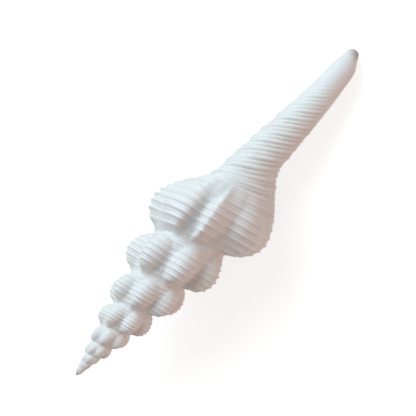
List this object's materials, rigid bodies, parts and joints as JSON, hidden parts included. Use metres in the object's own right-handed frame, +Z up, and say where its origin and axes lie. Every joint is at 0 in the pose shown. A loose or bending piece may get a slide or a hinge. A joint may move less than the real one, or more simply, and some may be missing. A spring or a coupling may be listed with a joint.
{
  "type": "spindle shell",
  "caption": "Natural white spindle shell lying on its side: a tall ribbed spire with fine spiral cords, a rounded last whorl with an open mouth, and a long tapering canal.",
  "frame": {"origin": "centre of the bounding box on the surface that the shell lies on", "axes": "+X along the shell from the apex towards the canal tip, +Z up; the mouth faces down"},
  "size_m": [0.1576, 0.0434, 0.0381],
  "materials": {
    "shell": "natural white shell, matt with a faint gloss"
  },
  "bodies": {
    "root": {"shell": "shell"}
  },
  "joints": []
}
